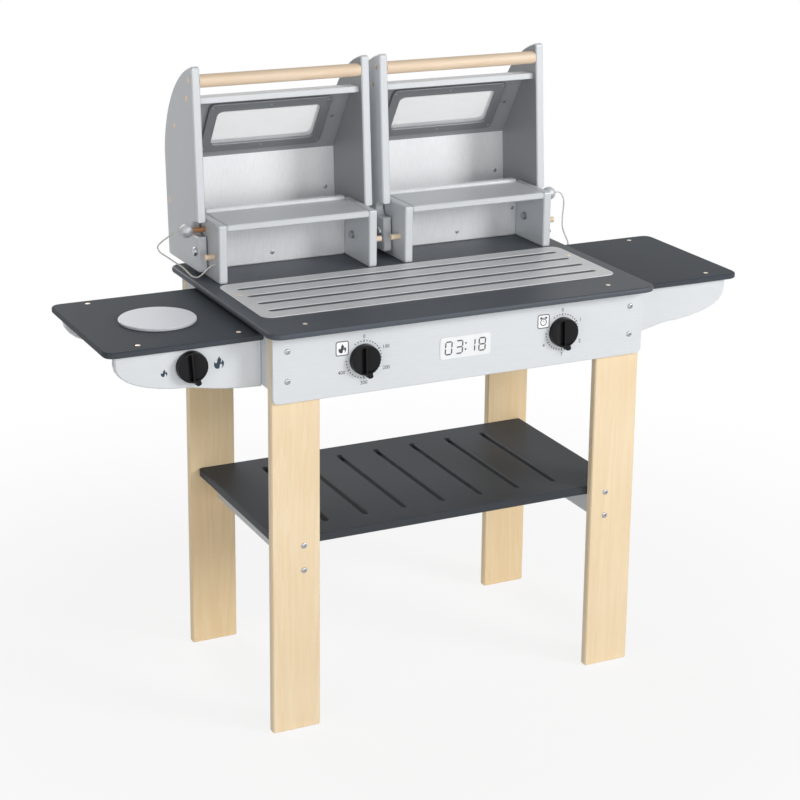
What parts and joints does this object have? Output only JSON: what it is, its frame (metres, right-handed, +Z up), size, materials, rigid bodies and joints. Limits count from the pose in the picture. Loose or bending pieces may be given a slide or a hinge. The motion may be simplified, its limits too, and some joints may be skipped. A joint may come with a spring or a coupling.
{
  "type": "toy barbecue grill",
  "caption": "Free-standing toy barbecue grill with side tables, hinged windowed hoods, turning dials, tethered lock pegs and a slotted shelf.",
  "frame": {"origin": "on the floor, under the middle of the bounding box of the whole without its tether cords", "axes": "+Z up, -Y towards the child who plays at it, +X to that child's right, along the width"},
  "size_m": [0.921, 0.4156, 0.837],
  "materials": {
    "birch": "clear satin lacquer over light ply",
    "beech": "clear satin lacquer over light turned wood",
    "silver_board": "silver paint, satin",
    "silver_ball": "silver paint, satin",
    "grill_silver": "silver paint, satin",
    "slate_board": "slate grey paint, satin",
    "shelf_board": "dark grey paint, satin",
    "knob_black": "black, semi-gloss",
    "display_white": "white, matt",
    "clear_pane": "clear, polished",
    "steel": "zinc-plated",
    "cord_white": "off-white round cord"
  },
  "bodies": {
    "stand": {"leg_front_left": "birch", "leg_front_right": "birch", "leg_rear_left": "birch", "leg_rear_right": "birch", "control_panel": "silver_board", "rear_apron": "silver_board", "side_apron_left": "silver_board", "side_apron_right": "silver_board", "tabletop": "slate_board", "grill_plate": "grill_silver", "lower_shelf": "shelf_board", "shelf_rail_left": "silver_board", "shelf_rail_right": "silver_board", "left_table_top": "slate_board", "left_table_front_board": "silver_board", "left_table_rear_board": "silver_board", "right_table_top": "slate_board", "right_table_front_board": "silver_board", "right_table_rear_board": "silver_board", "burner_disc": "silver_board", "display_plate": "display_white", "left_rack_outer_end": "silver_board", "left_rack_inner_end": "silver_board", "left_rack_top": "silver_board", "left_rack_back": "silver_board", "right_rack_outer_end": "silver_board", "right_rack_inner_end": "silver_board", "right_rack_top": "silver_board", "right_rack_back": "silver_board", "left_stop_dowel_outer": "beech", "left_stop_dowel_inner": "beech", "right_stop_dowel_outer": "beech", "right_stop_dowel_inner": "beech", "left_pivot_bolt_outer": "steel", "left_pivot_bolt_inner": "steel", "right_pivot_bolt_outer": "steel", "right_pivot_bolt_inner": "steel"},
    "left_hood": {"left_hood_outer_cheek": "silver_board", "left_hood_inner_cheek": "silver_board", "left_hood_back": "silver_board", "left_hood_top": "silver_board", "left_hood_window_panel": "silver_board", "left_hood_window_frame": "slate_board", "left_hood_window_pane": "clear_pane", "left_hood_handle": "beech"},
    "right_hood": {"right_hood_outer_cheek": "silver_board", "right_hood_inner_cheek": "silver_board", "right_hood_back": "silver_board", "right_hood_top": "silver_board", "right_hood_window_panel": "silver_board", "right_hood_window_frame": "slate_board", "right_hood_window_pane": "clear_pane", "right_hood_handle": "beech"},
    "oven_knob": {"oven_dial": "knob_black"},
    "timer_knob": {"timer_dial": "knob_black"},
    "burner_knob": {"burner_dial": "knob_black"},
    "left_lock": {"left_lock_peg": "silver_ball", "left_tether": "cord_white"},
    "right_lock": {"right_lock_peg": "silver_ball", "right_tether": "cord_white"}
  },
  "joints": [
    {"name": "left_hood_hinge", "type": "hinge", "parent": "stand", "child": "left_hood", "pos_m": [-0.122, 0.09167, 0.5875], "axis": [1, 0, 0], "range_deg": [0, 95.5]},
    {"name": "right_hood_hinge", "type": "hinge", "parent": "stand", "child": "right_hood", "pos_m": [0.153, 0.09167, 0.5875], "axis": [1, 0, 0], "range_deg": [0, 95.5]},
    {"name": "left_lock_slide", "type": "slide", "parent": "stand", "child": "left_lock", "axis": [-1, 0, 0], "range_m": [0, 0.105]},
    {"name": "right_lock_slide", "type": "slide", "parent": "stand", "child": "right_lock", "axis": [1, 0, 0], "range_m": [0, 0.105]},
    {"name": "oven_dial_turn", "type": "hinge", "parent": "stand", "child": "oven_knob", "pos_m": [-0.1295, -0.19, 0.5005], "axis": [0, 1, 0], "continuous": true},
    {"name": "timer_dial_turn", "type": "hinge", "parent": "stand", "child": "timer_knob", "pos_m": [0.1605, -0.19, 0.5005], "axis": [0, 1, 0], "continuous": true},
    {"name": "burner_dial_turn", "type": "hinge", "parent": "stand", "child": "burner_knob", "pos_m": [-0.3485, -0.155, 0.5093], "axis": [0, 1, 0], "range_deg": [-133, 170]}
  ],
  "couplings": [
    {"joint": "left_lock_slide", "follows": "left_hood_hinge", "m_per_rad": 0.0629},
    {"joint": "right_lock_slide", "follows": "right_hood_hinge", "m_per_rad": 0.0629}
  ]
}
